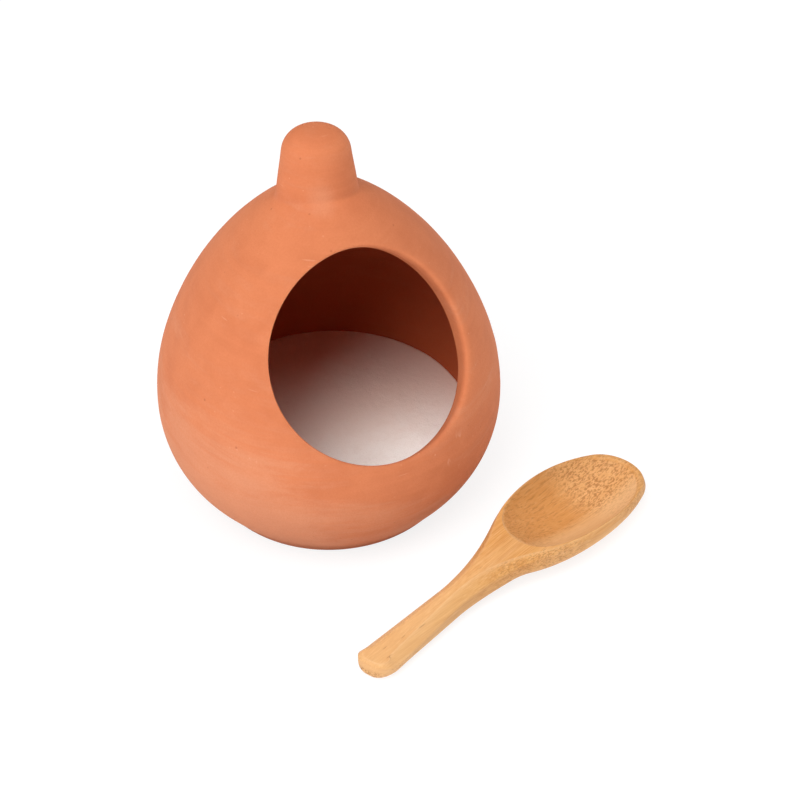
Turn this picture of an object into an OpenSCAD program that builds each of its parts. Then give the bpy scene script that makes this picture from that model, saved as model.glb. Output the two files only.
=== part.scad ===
// Salt pig: a thick-walled terracotta jar with a tilted round mouth and a finger knob,
// a level fill of salt inside it, and a carved bamboo spoon lying beside it.
// Sizes are in millimetres and degrees. The jar stands on z = 0 about the z axis, its mouth faces -y.

/* [Jar body] */
// Radius of the body at its widest ring
belly_radius = 60; // [50:0.5:75]
// Height of the widest ring above the table
belly_height = 38.3; // [32:0.1:46]
// Radius of the wall's curve below the widest ring
lower_bend = 46.5; // [40:0.5:55]
// Angle through which the wall curves in below the widest ring
lower_turn = 35.8; // [25:0.2:45]
// Radius of the wall's curve just above the widest ring
upper_bend = 73; // [60:0.5:90]
// Angle through which the wall curves in just above the widest ring
upper_turn = 17.4; // [10:0.2:30]
// Radius of the long curve of the shoulder
shoulder_bend = 114.5; // [95:0.5:140]
// Rounding of the edge of the base
foot_round = 2.5; // [1:0.1:5]
// Thickness of the wall
wall = 7.2; // [5:0.1:9]
// Thickness of the floor
floor_thickness = 8; // [6:0.1:12]
// Rounding of the roof inside, under the knob
roof_round = 22; // [15:0.5:30]

/* [Mouth] */
// Radius of the round mouth
mouth_radius = 33.8; // [26:0.1:37]
// Height at which the axis of the mouth crosses the axis of the jar
mouth_height = 35.6; // [32:0.1:42]
// Angle by which the mouth looks up
mouth_rise = 49.8; // [40:0.2:60]
// How far the rounding of the lip runs out from the edge, each way
lip_run = 3.2; // [1.5:0.1:4.5]

/* [Knob] */
// Height of the knob above the peak that the curve of the shoulder runs up to
knob_rise = 16.1; // [10:0.1:22]
// Radius that the side of the knob would have at the level of its top
knob_radius = 10.3; // [8:0.1:13]
// Lean of the side of the knob
knob_draft = 8.4; // [2:0.2:12]
// Rounding of the upper edge of the knob
knob_corner = 9; // [5:0.1:10]
// Radius of the crown of the knob
knob_crown = 22.9; // [18:0.1:35]
// Fillet between the knob and the shoulder
knob_fillet = 2.5; // [1:0.1:5]

/* [Salt] */
// Height of the top of the salt above the table
salt_level = 23.3; // [14:0.1:32]

/* [Spoon outline] */
// Length of the spoon
spoon_length = 131; // [115:0.5:145]
// Width of the bowl
bowl_width = 34.4; // [30:0.1:40]
// Radius of the tip of the bowl
tip_radius = 13.3; // [10:0.1:14.5]
// Radius of the long sides of the bowl
bowl_bend = 69; // [55:0.5:85]
// Width of the handle where the neck begins
neck_width = 9.4; // [8:0.1:13]
// Radius of the hollow sides of the neck
neck_bend = 75; // [50:0.5:85]
// Width of the handle at its end
end_width = 13.4; // [12:0.1:16]
// Rounding of the corners of the handle's end
end_round = 5.4; // [2:0.1:5.8]

/* [Spoon side] */
// Height of the top face at the handle's end
end_height = 7.5; // [6:0.1:9]
// Slope of the top face along the handle
handle_slope = 7.3; // [5:0.1:9]
// Length of the straight stretch of the top face
handle_straight = 42.5; // [30:0.5:55]
// Radius of the top face over the neck and the bowl
top_bend = 265; // [200:5:400]
// Radius of the round underside of the handle
handle_round = 11.5; // [9:0.1:14]
// Slope of the underside of the handle
handle_lift = 2.9; // [1.5:0.1:4]

/* [Spoon bowl] */
// Distance from the handle's end to the lowest point of the bowl
keel_place = 99; // [85:0.5:104]
// Half length of the round underside of the bowl
keel_reach = 49.5; // [46:0.5:60]
// Half width of the round underside of the bowl
keel_breadth = 19.4; // [18.5:0.1:24]
// Height of the widest level of the round underside
keel_depth = 14.7; // [13:0.1:18]
// Distance from the handle's end to the middle of the hollow
hollow_place = 99; // [93:0.5:104]
// Half length of the hollow
hollow_reach = 30; // [25:0.5:31]
// Half width of the hollow
hollow_breadth = 16.2; // [12:0.1:16.6]
// Depth of the hollow
hollow_depth = 9.5; // [5:0.1:11]

/* [Spoon place] */
// Distance of the handle's end to the right of the jar's axis
spoon_right = -30.1; // [-60:0.1:0]
// Distance of the handle's end in front of the widest ring of the jar
spoon_gap = 36.8; // [32:0.1:80]
// Turn of the spoon on the table
spoon_turn = 19; // [0:0.1:30]

/* [Fit] */
// Clearance between the salt and the wall
salt_gap = 0.15; // [0.1:0.05:0.5]
// Overrun of every cut past the face it opens
overrun = 1; // [0.5:0.1:2]
// Radius of the flat spot in the middle of the crown and of the roof
flat_spot = 1; // [0.5:0.1:2]

/* [Hidden] */
$fn = 96;

// Wall curves: centre of each bend and the point where it hands over to the next
lower_r = belly_radius - lower_bend;
upper_r = belly_radius - upper_bend;
low_r = lower_r + lower_bend * cos(lower_turn);
low_z = belly_height - lower_bend * sin(lower_turn);
high_r = upper_r + upper_bend * cos(upper_turn);
high_z = belly_height + upper_bend * sin(upper_turn);
shoulder_r = high_r - shoulder_bend * cos(upper_turn);
shoulder_z = high_z - shoulder_bend * sin(upper_turn);
peak_z = shoulder_z + sqrt(shoulder_bend * shoulder_bend - shoulder_r * shoulder_r);

// Base: the cone below the lower bend and the rounding of its edge
base_r = low_r - low_z * tan(lower_turn);
foot_r = base_r + foot_round * tan(lower_turn) - foot_round / cos(lower_turn);

// Knob: centre of the rounded upper edge, between the drafted side and the crown
knob_top = peak_z + knob_rise;
crown_z = knob_top - knob_crown;
corner_axis_r = knob_radius + knob_top * tan(knob_draft) - knob_corner / cos(knob_draft);
corner_a = 1 + tan(knob_draft) * tan(knob_draft);
corner_b = corner_axis_r * tan(knob_draft) + crown_z;
corner_c = corner_axis_r * corner_axis_r + crown_z * crown_z - pow(knob_crown - knob_corner, 2);
corner_z = (corner_b + sqrt(corner_b * corner_b - corner_a * corner_c)) / corner_a;
corner_r = corner_axis_r - corner_z * tan(knob_draft);
crown_turn = atan2(corner_z - crown_z, corner_r);
crown_end = acos(flat_spot / knob_crown);

// Knob fillet: centre outside the wall, at its own radius from the side and from the shoulder
fillet_axis_r = knob_radius + knob_top * tan(knob_draft) + knob_fillet / cos(knob_draft) - shoulder_r;
fillet_b = fillet_axis_r * tan(knob_draft) + shoulder_z;
fillet_c = fillet_axis_r * fillet_axis_r + shoulder_z * shoulder_z - pow(shoulder_bend + knob_fillet, 2);
fillet_z = (fillet_b + sqrt(fillet_b * fillet_b - corner_a * fillet_c)) / corner_a;
fillet_r = fillet_axis_r + shoulder_r - fillet_z * tan(knob_draft);
fillet_turn = atan2(fillet_z - shoulder_z, fillet_r - shoulder_r);

// Roof inside: a round cap tangent to the inside of the shoulder
roof_reach = shoulder_bend - wall - roof_round;
roof_z = shoulder_z + sqrt(roof_reach * roof_reach - shoulder_r * shoulder_r);
roof_turn = atan2(roof_z - shoulder_z, 0 - shoulder_r);
roof_end = acos(flat_spot / roof_round);

// Points along an arc, with or without its first point
arc_steps = 10;
function arc(centre, radius, from, to, first) = [
    for (i = [first:arc_steps])
        let (turn = from + (to - from) * i / arc_steps)
        centre + radius * [cos(turn), sin(turn)]
];

// Angle at which a curve set in from the lower bend stands at a height
function lower_angle(inset, z) = asin((z - belly_height) / (lower_bend - inset));

// Wall radius at a height, from the base to the knob
function wall_radius(z) =
    z < low_z ? base_r + z * tan(lower_turn)
    : z < belly_height ? lower_r + sqrt(pow(lower_bend, 2) - pow(z - belly_height, 2))
    : z < high_z ? upper_r + sqrt(pow(upper_bend, 2) - pow(z - belly_height, 2))
    : shoulder_r + sqrt(max(0, pow(shoulder_bend, 2) - pow(z - shoulder_z, 2)));

// Lip: points on a tube about the mouth's axis, and where that tube leaves the wall
lip_stations = 96;
lip_chords = 3;
search_steps = 40;
bore_length = belly_radius + peak_z - mouth_height;
function tube(turn, radius, along) = [
    radius * cos(turn),
    radius * sin(turn) * sin(mouth_rise) - along * cos(mouth_rise),
    mouth_height + radius * sin(turn) * cos(mouth_rise) + along * sin(mouth_rise)
];
function outside(p) = norm([p.x, p.y]) > wall_radius(p.z);
function leave(turn, radius, low, high, steps) =
    let (middle = (low + high) / 2)
    steps == 0 ? middle
    : outside(tube(turn, radius, middle)) ? leave(turn, radius, low, middle, steps - 1)
    : leave(turn, radius, middle, high, steps - 1);
function blend(a, b, c, share) =
    (1 - share) * (1 - share) * a + 2 * share * (1 - share) * b + share * share * c;
function lip_section(turn) =
    let (edge = [mouth_radius, leave(turn, mouth_radius, 0, bore_length, search_steps)])
    let (far = mouth_radius + lip_run)
    let (out = [far, leave(turn, far, 0, bore_length, search_steps)])
    let (down = [mouth_radius, edge.y - lip_run])
    let (line = [for (i = [0:lip_chords]) blend(down, edge, out, i / lip_chords)])
    let (first = line[0] - line[1])
    let (last = line[lip_chords] - line[lip_chords - 1])
    let (brim = out + last / norm(last) * overrun)
    let (above = max(edge.y, brim.y) + overrun)
    let (run = concat(
        [down + first / norm(first) * overrun],
        [for (i = [1:lip_chords - 1]) line[i]],
        [brim, [brim.x, above], [mouth_radius - overrun, above]]
    ))
    [for (p = run) tube(turn, p.x, p.y)];

// Spoon: centres of the arcs of its outline
tip_place = spoon_length - tip_radius;
bowl_half = bowl_width / 2;
side_gap = pow(bowl_bend - tip_radius, 2) - pow(bowl_bend - bowl_half, 2);
bowl_place = tip_place - sqrt(side_gap);
neck_half = neck_width / 2;
neck_rise = neck_half + neck_bend + bowl_bend - bowl_half;
neck_place = bowl_place - sqrt(pow(bowl_bend + neck_bend, 2) - neck_rise * neck_rise);
neck_turn = acos(neck_rise / (bowl_bend + neck_bend));
tip_turn = acos((tip_place - bowl_place) / (bowl_bend - tip_radius));
end_half = end_width / 2;

// Spoon: the top face seen from the side
bend_z = end_height + handle_straight * tan(handle_slope);
top_place = handle_straight + top_bend * sin(handle_slope);
top_centre_z = bend_z - top_bend * cos(handle_slope);
hollow_lean = asin((hollow_place - top_place) / top_bend);
hollow_z = top_centre_z + sqrt(pow(top_bend, 2) - pow(hollow_place - top_place, 2));

// Half outline of the jar's outside, from the base to the crown of the knob
module jar_outside() {
    polygon(concat(
        [[0, 0]],
        arc([foot_r, foot_round], foot_round, -90, -lower_turn, 0),
        arc([lower_r, belly_height], lower_bend, -lower_turn, 0, 0),
        arc([upper_r, belly_height], upper_bend, 0, upper_turn, 1),
        arc([shoulder_r, shoulder_z], shoulder_bend, upper_turn, fillet_turn, 1),
        arc([fillet_r, fillet_z], knob_fillet, 180 + fillet_turn, 180 + knob_draft, 1),
        arc([corner_r, corner_z], knob_corner, knob_draft, crown_turn, 0),
        arc([0, crown_z], knob_crown, crown_turn, crown_end, 1),
        [[0, crown_z + knob_crown * sin(crown_end)]]
    ));
}

// Half outline of the hollow inside, from the floor to the roof under the knob
module jar_inside() {
    polygon(concat(
        [[0, floor_thickness]],
        arc([lower_r, belly_height], lower_bend - wall, lower_angle(wall, floor_thickness), 0, 0),
        arc([upper_r, belly_height], upper_bend - wall, 0, upper_turn, 1),
        arc([shoulder_r, shoulder_z], shoulder_bend - wall, upper_turn, roof_turn, 1),
        arc([0, roof_z], roof_round, roof_turn, roof_end, 1),
        [[0, roof_z + roof_round * sin(roof_end)]]
    ));
}

// Half outline of the salt, from the floor to its level top
module salt_outline() {
    inset = wall + salt_gap;
    foot_angle = lower_angle(inset, floor_thickness);
    polygon(concat(
        [[0, floor_thickness]],
        arc([lower_r, belly_height], lower_bend - inset, foot_angle, lower_angle(inset, salt_level), 0),
        [[0, salt_level]]
    ));
}

// Round hole through the wall along the mouth's axis
module mouth_bore() {
    translate([0, 0, mouth_height])
        rotate([90 - mouth_rise, 0, 0])
            rotate([0, 0, 180 / lip_stations])
                cylinder(r = mouth_radius, h = bore_length);
}

// Ring that takes the sharp edge off the mouth, following the edge as it rises and falls round the wall
module lip_cut() {
    sections = [for (i = [0:lip_stations - 1]) lip_section(360 * i / lip_stations)];
    corners = len(sections[0]);
    points = [for (s = sections) for (p = s) p];
    faces = [
        for (i = [0:lip_stations - 1]) for (j = [0:corners - 1])
            let (m = (i + 1) % lip_stations)
            let (n = (j + 1) % corners)
            for (side = [0, 1])
                side == 0
                ? [i * corners + j, i * corners + n, m * corners + n]
                : [i * corners + j, m * corners + n, m * corners + j]
    ];
    polyhedron(points, faces);
}

// The jar: body, floor, roof and knob of one piece, with the mouth cut through the wall
module jar() {
    color([0.80, 0.45, 0.31])
        difference() {
            rotate_extrude()
                jar_outside();
            rotate_extrude()
                jar_inside();
            mouth_bore();
            lip_cut();
        }
}

// The salt: a level fill that lies on the floor and stops just short of the wall
module salt() {
    color([0.93, 0.91, 0.89])
        rotate_extrude()
            salt_outline();
}

// Outline of the spoon from above, its handle's end at the origin
module spoon_outline() {
    half = concat(
        arc([end_round, end_half - end_round], end_round, 180, 90, 0),
        arc([neck_place, neck_half + neck_bend], neck_bend, 270, 270 + neck_turn, 0),
        arc([bowl_place, bowl_half - bowl_bend], bowl_bend, 90 + neck_turn, tip_turn, 1),
        arc([tip_place, 0], tip_radius, tip_turn, 0, 1)
    );
    polygon(concat(half, [for (i = [len(half) - 2:-1:0]) [half[i].x, -half[i].y]]));
}

// Space below the top face of the spoon, seen from the side
module spoon_below_top() {
    polygon([
        [-overrun, -overrun],
        [handle_straight, -overrun],
        [handle_straight, bend_z],
        [-overrun, end_height - overrun * tan(handle_slope)]
    ]);
    intersection() {
        translate([top_place, top_centre_z])
            circle(top_bend);
        translate([handle_straight, -overrun])
            square([spoon_length - handle_straight + overrun, keel_depth * 2]);
    }
}

// Ball drawn out to three half lengths
module egg(reach, breadth, depth) {
    scale([reach / depth, breadth / depth, 1])
        rotate([0, 90, 0])
            sphere(depth);
}

// The spoon: round bar of the handle and round underside of the bowl, trimmed to the outline and the top
module spoon() {
    color([0.87, 0.66, 0.42])
        translate([spoon_right, -belly_radius - spoon_gap, 0])
            rotate([0, 0, spoon_turn])
                difference() {
                    intersection() {
                        union() {
                            translate([0, 0, handle_round / cos(handle_lift)])
                                rotate([0, 90 - handle_lift, 0])
                                    translate([0, 0, -end_round])
                                        cylinder(r = handle_round, h = keel_place);
                            translate([keel_place, 0, keel_depth])
                                egg(keel_reach, keel_breadth, keel_depth);
                        }
                        translate([0, 0, -keel_depth])
                            linear_extrude(keel_depth * 3)
                                spoon_outline();
                        rotate([90, 0, 0])
                            translate([0, 0, -bowl_width])
                                linear_extrude(bowl_width * 2)
                                    spoon_below_top();
                    }
                    translate([hollow_place, 0, hollow_z])
                        rotate([0, hollow_lean, 0])
                            egg(hollow_reach, hollow_breadth, hollow_depth);
                }
}

jar();
salt();
spoon();
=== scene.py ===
import math

import bmesh
import bpy
from mathutils import Matrix, Vector, noise


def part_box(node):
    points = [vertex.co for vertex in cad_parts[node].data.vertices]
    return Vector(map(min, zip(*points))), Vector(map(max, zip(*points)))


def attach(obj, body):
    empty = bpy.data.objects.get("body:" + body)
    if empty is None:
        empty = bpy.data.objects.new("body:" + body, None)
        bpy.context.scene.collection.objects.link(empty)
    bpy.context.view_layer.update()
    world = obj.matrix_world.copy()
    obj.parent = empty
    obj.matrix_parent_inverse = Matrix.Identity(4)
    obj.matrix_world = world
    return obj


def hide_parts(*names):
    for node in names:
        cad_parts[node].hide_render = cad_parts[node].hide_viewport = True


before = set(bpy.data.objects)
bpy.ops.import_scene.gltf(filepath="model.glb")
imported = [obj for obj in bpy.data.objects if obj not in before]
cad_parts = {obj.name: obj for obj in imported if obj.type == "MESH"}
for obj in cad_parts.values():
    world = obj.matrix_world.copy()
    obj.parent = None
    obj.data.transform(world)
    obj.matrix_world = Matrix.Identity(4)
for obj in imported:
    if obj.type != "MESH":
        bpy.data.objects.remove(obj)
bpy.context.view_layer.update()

bl_info = {
    "name": "Salt Pig",
    "version": (1, 0, 0),
    "blender": (4, 5, 0),
    "location": "3D View > Sidebar > Salt Pig",
    "description": "A terracotta salt pig with its salt and a bamboo spoon",
    "category": "Add Mesh",
}

MM = 0.001
WHITE = (1, 1, 1, 1)
JAR_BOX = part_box("jar")
SALT_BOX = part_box("salt")

CAMERA_PLACE = Vector((-0.1842, -0.4438, 0.4487))
CAMERA_LOOK = Vector((0.3249, 0.6812, -0.6561))
LAMP_AIM = Vector((0.02, -0.03, 0.05))
LAMPS = (
    ("key", (-0.91, -0.49, 1.38), 1.2),
    ("top", (-0.1, -0.38, 1.6), 1.1),
    ("fill", (1.4, 0.3, 0.75), 1.2),
)
SMEAR_PLACE = (-5 * MM, -10 * MM, 124 * MM)
SCUFF_PLACE = (23 * MM, -55 * MM, 44 * MM)


def length(name, millimetres, about):
    """A size of the object, written in millimetres and kept in metres."""
    return bpy.props.FloatProperty(
        name=name, description=about, default=millimetres * MM, precision=5, unit="LENGTH")


def angle(name, degrees, about):
    """An angle, written in degrees."""
    return bpy.props.FloatProperty(
        name=name, description=about, default=math.radians(degrees), subtype="ANGLE")


def colour(name, rgb, about):
    """A colour in linear light."""
    return bpy.props.FloatVectorProperty(
        name=name, description=about, default=rgb, size=3, min=0, max=1, subtype="COLOR")


def amount(name, value, about):
    """A plain number."""
    return bpy.props.FloatProperty(name=name, description=about, default=value, min=0)


class JarSettings(bpy.types.PropertyGroup):
    """Sizes and clay colours of the jar."""

    belly_radius: length("Belly radius", JAR_BOX[1].x / MM, "Radius at the widest ring")
    belly_height: length("Belly height", 38.3, "Height of the widest ring")
    lower_bend: length("Lower bend", 46.5, "Radius of the wall's curve below the widest ring")
    lower_turn: angle("Lower turn", 35.8, "Angle of the curve below the widest ring")
    upper_bend: length("Upper bend", 73, "Radius of the wall's curve above the widest ring")
    upper_turn: angle("Upper turn", 17.4, "Angle of the curve above the widest ring")
    shoulder_bend: length("Shoulder bend", 114.5, "Radius of the long curve of the shoulder")
    foot_round: length("Foot rounding", 2.5, "Rounding of the edge of the base")
    wall: length("Wall", 7.2, "Thickness of the wall")
    floor: length("Floor", 8, "Thickness of the floor")
    roof_round: length("Roof rounding", 22, "Rounding of the roof inside")
    mouth_radius: length("Mouth radius", 33.8, "Radius of the round mouth")
    mouth_height: length("Mouth height", 35.6, "Height where the mouth's axis meets the jar's")
    mouth_rise: angle("Mouth rise", 49.8, "Angle by which the mouth looks up")
    lip_run: length("Lip rounding", 4.4, "Run of the rounding over the outside where it is softest")
    lip_crisp: length("Crisp lip", 1.1, "Run of the rounding where the edge is crispest")
    lip_deep: amount("Lip depth", 1.4, "Run into the mouth, as a share of that over the outside")
    lip_turn: angle("Softest side", -30, "Side of the mouth where the lip is softest, up from the right")
    inner_run: length("Inner lip rounding", 1.0, "Run of the rounding at the inner edge")
    mouth_trim: length("Mouth trim", 0.64, "How much smaller the hand-cut mouth is than planned")
    mouth_left: length("Mouth to the left", 0.9, "How far the hand-cut mouth sits to the left")
    mouth_drop: length("Mouth drop", 0.9, "How far the hand-cut mouth sits too low")
    mouth_slant: length("Mouth slant", 0.42, "How far the mouth is drawn out to the upper left")
    mouth_flare: length("Mouth flare", 2.2, "How much the mouth widens inwards at its top")
    knob_top: length("Knob top", JAR_BOX[1].z / MM, "Height of the top of the knob")
    knob_radius: length("Knob radius", 10.3, "Radius of the side of the knob at the level of its top")
    knob_draft: angle("Knob draft", 8.4, "Lean of the side of the knob")
    knob_corner: length("Knob corner", 9, "Rounding of the upper edge of the knob")
    knob_crown: length("Knob crown", 22.9, "Radius of the crown of the knob")
    knob_fillet: length("Knob fillet", 1.8, "Fillet between the knob and the shoulder")
    knob_left: length("Knob to the left", 2.0, "Shift of the hand-set knob along its width")
    knob_back: length("Knob to the back", 1.4, "Shift of the hand-set knob along its depth")
    knob_turn: angle("Knob turn", 25.5, "Turn of the pinched knob's depth from the back to the right")
    knob_lean: amount("Knob lean", 0.018, "How much the hand-set knob leans to the right")
    knob_wide: amount("Knob width", 0.98, "Width of the pinched knob, as a share of a round one")
    knob_deep: amount("Knob depth", 0.78, "Depth of the pinched knob, as a share of a round one")
    unevenness: length("Unevenness", 0.22, "Depth of the hand-made unevenness of the wall")
    clay: colour("Clay", (0.68, 0.213, 0.090), "Main colour of the fired clay")
    clay_deep: colour("Deep clay", (0.56, 0.155, 0.062), "Darker mottling of the clay")
    # The pale clay also carries painted bounce light low on the left and front.
    clay_pale: colour("Pale clay", (0.76, 0.345, 0.20), "Pale bloom and scuffs on the clay")
    # Painted shade: the inner clay colour stands in for the shade inside the jar.
    inner_painted_shade: colour("Inner clay", (0.41, 0.066, 0.016), "Colour of the clay inside, where it was not wiped")
    # The pits colour is also painted shade along the foot.
    pit: colour("Pits", (0.42, 0.105, 0.042), "Colour in the small pits")


class SaltSettings(bpy.types.PropertyGroup):
    """Sizes and colour of the salt."""

    level: length("Level", SALT_BOX[1].z / MM, "Height of the top of the salt")
    gap: length("Gap", 0.03, "Clearance between the salt and the wall")
    ripple: length("Ripple", 0.4, "Depth of the shallow hollows on the top")
    white: colour("White", (0.93, 0.875, 0.825), "Colour of the grains")
    grey: colour("Grey", (0.76, 0.69, 0.64), "Colour between the grains")
    # Painted shade: a warm tint that darkens the salt towards the back of the jar.
    back_shade_tint: colour("Dust", (0.90, 0.66, 0.55), "Colour of the grains dusted with clay, at the back")


class SpoonSettings(bpy.types.PropertyGroup):
    """Sizes, place and bamboo colours of the spoon."""

    length: length("Length", 131, "Length of the spoon")
    bowl_width: length("Bowl width", 34.4, "Width of the bowl")
    tip_radius: length("Tip radius", 13.3, "Radius of the tip of the bowl")
    bowl_bend: length("Bowl bend", 69, "Radius of the long sides of the bowl")
    neck_width: length("Neck width", 9.4, "Width of the handle where the neck begins")
    neck_bend: length("Neck bend", 75, "Radius of the hollow sides of the neck")
    end_width: length("End width", 13.4, "Width of the handle at its end")
    end_round: length("End rounding", 5.4, "Rounding of the corners of the handle's end")
    end_height: length("End height", 7.5, "Height of the top face at the handle's end")
    handle_slope: angle("Handle slope", 7.3, "Slope of the top face along the handle")
    handle_straight: length("Handle straight", 42.5, "Length of the straight stretch of the top face")
    top_bend: length("Top bend", 265, "Radius of the top face over the neck and the bowl")
    handle_round: length("Handle round", 11.5, "Radius of the round underside of the handle")
    handle_lift: angle("Handle lift", 2.9, "Slope of the underside of the handle")
    keel_place: length("Keel place", 99, "Place of the bowl's lowest point from the handle's end")
    keel_reach: length("Keel reach", 49.5, "Half length of the round underside of the bowl")
    keel_breadth: length("Keel breadth", 19.4, "Half width of the round underside of the bowl")
    keel_depth: length("Keel depth", 14.7, "Height of the widest level of the round underside")
    hollow_place: length("Hollow place", 99.0, "Place of the hollow's middle from the handle's end")
    hollow_reach: length("Hollow reach", 33.3, "Half length of the hollow")
    hollow_breadth: length("Hollow breadth", 16.3, "Half width of the hollow")
    hollow_depth: length("Hollow depth", 8.2, "Depth of the hollow")
    hollow_fall: amount("Hollow fall", 1.85, "Wall of the hollow: 1 is upright at the rim, 2 a dish")
    handle_edge: length("Handle edge", 3.4, "Run inwards of the upper edge's softening on the handle")
    handle_drop: length("Handle edge depth", 3.2, "Run down of the upper edge's softening on the handle")
    bowl_edge: length("Bowl edge", 0.8, "Run inwards of the upper edge's softening on the bowl")
    bowl_drop: length("Bowl edge depth", 2.2, "Run down of the upper edge's softening on the bowl")
    end_edge: amount("End edge", 0.3, "Softening of the handle's end, as a share of its sides'")
    edge_flat: amount("Edge flatness", 0.85, "Upper edge: 0 is round, 1 a flat bevel")
    lower_edge: length("Lower edge", 2.5, "Softening of the lower edges")
    rim_edge: length("Rim edge", 0.5, "Softening of the edge of the hollow")
    end_skew: amount("End skew", 0.22, "Slant of the handle's end")
    crown: length("Crown", 0.35, "Height of the round of the handle's top face")
    right: length("Right", -30.11, "Place of the handle's end to the right of the jar's axis")
    front: length("Front", 96.8, "Place of the handle's end in front of the jar's axis")
    turn: angle("Turn", 19, "Turn of the spoon on the table")
    gold: colour("Gold", (0.76, 0.378, 0.118), "Main colour of the bamboo")
    # Honey also serves as painted shade in the hollow.
    honey_and_painted_shade: colour("Honey", (0.60, 0.240, 0.052), "Darker streaks of the bamboo")
    # Straw also serves as painted light: the highlight along the edges and the lighter tip and near side of the
    # hollow.
    straw_and_painted_light: colour("Straw", (0.88, 0.54, 0.265), "Pale streaks and sanded edges")
    fibre: colour("Fibre", (0.37, 0.135, 0.030), "Dark fibre bundles")


class StageSettings(bpy.types.PropertyGroup):
    """Light, floor and camera."""

    ambient: amount("Ambient", 0.08, "Strength of the light from all round")
    key: amount("Key", 19.6, "Power of the large soft light at the left, in watts")
    top: amount("Top", 11.2, "Power of the soft light overhead, in watts")
    fill: amount("Fill", 4.5, "Power of the soft light at the right, in watts")
    bounce: amount("Bounce", 0.85, "Brightness of the floor's own light on the object")
    floor_glow: amount("Floor glow", 0.84, "Brightness of the floor to the camera without light")
    floor_shade: amount("Floor shade", 0.22, "Share of light and shadow that the floor shows")
    lens: amount("Lens", 81, "Focal length of the camera in millimetres")


class SaltPigSettings(bpy.types.PropertyGroup):
    """All settings of the salt pig."""

    jar: bpy.props.PointerProperty(type=JarSettings, name="Jar", description="The jar")
    salt: bpy.props.PointerProperty(type=SaltSettings, name="Salt", description="The salt")
    spoon: bpy.props.PointerProperty(type=SpoonSettings, name="Spoon", description="The spoon")
    stage: bpy.props.PointerProperty(type=StageSettings, name="Stage", description="The stage")


class Wire:
    """A socket that takes part in Python sums; each sum adds its Math node."""

    def __init__(self, board, socket):
        self.board = board
        self.socket = socket

    def _sum(self, operation, first, second):
        return self.board.add("ShaderNodeMath", {"operation": operation}, {0: first, 1: second})

    def __add__(self, other):
        return self._sum("ADD", self, other)

    def __radd__(self, other):
        return self._sum("ADD", other, self)

    def __sub__(self, other):
        return self._sum("SUBTRACT", self, other)

    def __rsub__(self, other):
        return self._sum("SUBTRACT", other, self)

    def __mul__(self, other):
        return self._sum("MULTIPLY", self, other)

    def __gt__(self, other):
        return self._sum("GREATER_THAN", self, other)


class Board:
    """A material's node tree, or the world's."""

    def __init__(self, tree):
        self.tree = tree
        self.tree.nodes.clear()

    def add(self, kind, settings=None, inputs=None, output=0):
        """Adds a node with its settings, then the values or links of its sockets."""
        node = self.tree.nodes.new(kind)
        for name, value in (settings or {}).items():
            setattr(node, name, value)
        for name, value in (inputs or {}).items():
            if isinstance(value, Wire):
                self.tree.links.new(value.socket, node.inputs[name])
            else:
                node.inputs[name].default_value = value
        return Wire(self, node.outputs[output]) if node.outputs else node

    def object_place(self):
        """The place on the piece, in metres."""
        return self.add("ShaderNodeTexCoord", output="Object")

    def attribute(self, name):
        """A number that the piece's vertices carry."""
        return self.add("ShaderNodeAttribute", {"attribute_name": name}, output="Fac")

    def distance(self, place, point):
        """How far a place lies from a point, in metres."""
        return self.add("ShaderNodeVectorMath", {"operation": "DISTANCE"}, {0: place, 1: point}, "Value")

    def mapped(self, place, scale, location=(0, 0, 0), turn=(0, 0, 0), kind="POINT"):
        """A place that is moved, turned and stretched."""
        return self.add("ShaderNodeMapping", {"vector_type": kind}, {
            "Vector": place, "Location": location, "Rotation": turn, "Scale": scale})

    def noise(self, place, scale, detail, roughness, distortion=0):
        """Soft noise from 0 to 1, with so many lumps a metre."""
        return self.add("ShaderNodeTexNoise", {}, {
            "Vector": place, "Scale": scale, "Detail": detail,
            "Roughness": roughness, "Distortion": distortion})

    def cells(self, place, scale, output="Distance"):
        """Cells with so many a metre: the distance to the middle of the nearest, or its own colour."""
        return self.add("ShaderNodeTexVoronoi", {"feature": "F1"}, {"Vector": place, "Scale": scale}, output)

    def chosen(self, place, scale, part, limit):
        """1 in the cells whose own colour is above a limit in one of its parts, else 0."""
        return self.split(self.cells(place, scale, "Color"))[part] > limit

    def ramp(self, value, low, high):
        """Rises smoothly from 0 at low to 1 at high, or falls if high is below low."""
        return self.add("ShaderNodeMapRange", {"interpolation_type": "SMOOTHSTEP"}, {
            "Value": value, "From Min": min(low, high), "From Max": max(low, high),
            "To Min": 0 if low < high else 1, "To Max": 1 if low < high else 0})

    def mix(self, factor, first, second):
        """Goes from the first colour to the second."""
        return self.add("ShaderNodeMix", {"data_type": "RGBA"}, {
            0: factor, 6: self._rgba(first), 7: self._rgba(second)}, 2)

    def coats(self, base, *coats):
        """Lays colours over a base one after another, each with its own share."""
        for share, tint in coats:
            base = self.mix(share, base, tint)
        return base

    def split(self, place):
        """The three parts of a place."""
        node = self.add("ShaderNodeSeparateXYZ", {}, {"Vector": place}).socket.node
        return [Wire(self, out) for out in node.outputs]

    @staticmethod
    def _rgba(value):
        return value if isinstance(value, Wire) else (*value, 1)

    def bump(self, height, depth, strength):
        """A bump normal for a height from 0 to 1 and its depth in metres."""
        return self.add("ShaderNodeBump", {}, {"Height": height, "Distance": depth, "Strength": strength}, "Normal")

    def surface(self, inputs):
        """A Principled surface as the output."""
        shader = self.add("ShaderNodeBsdfPrincipled", {}, inputs)
        self.add("ShaderNodeOutputMaterial", {}, {"Surface": shader})


def new_board(name):
    """A new material and its board."""
    material = bpy.data.materials.new(name)
    material.use_nodes = True
    return material, Board(material.node_tree)


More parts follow.
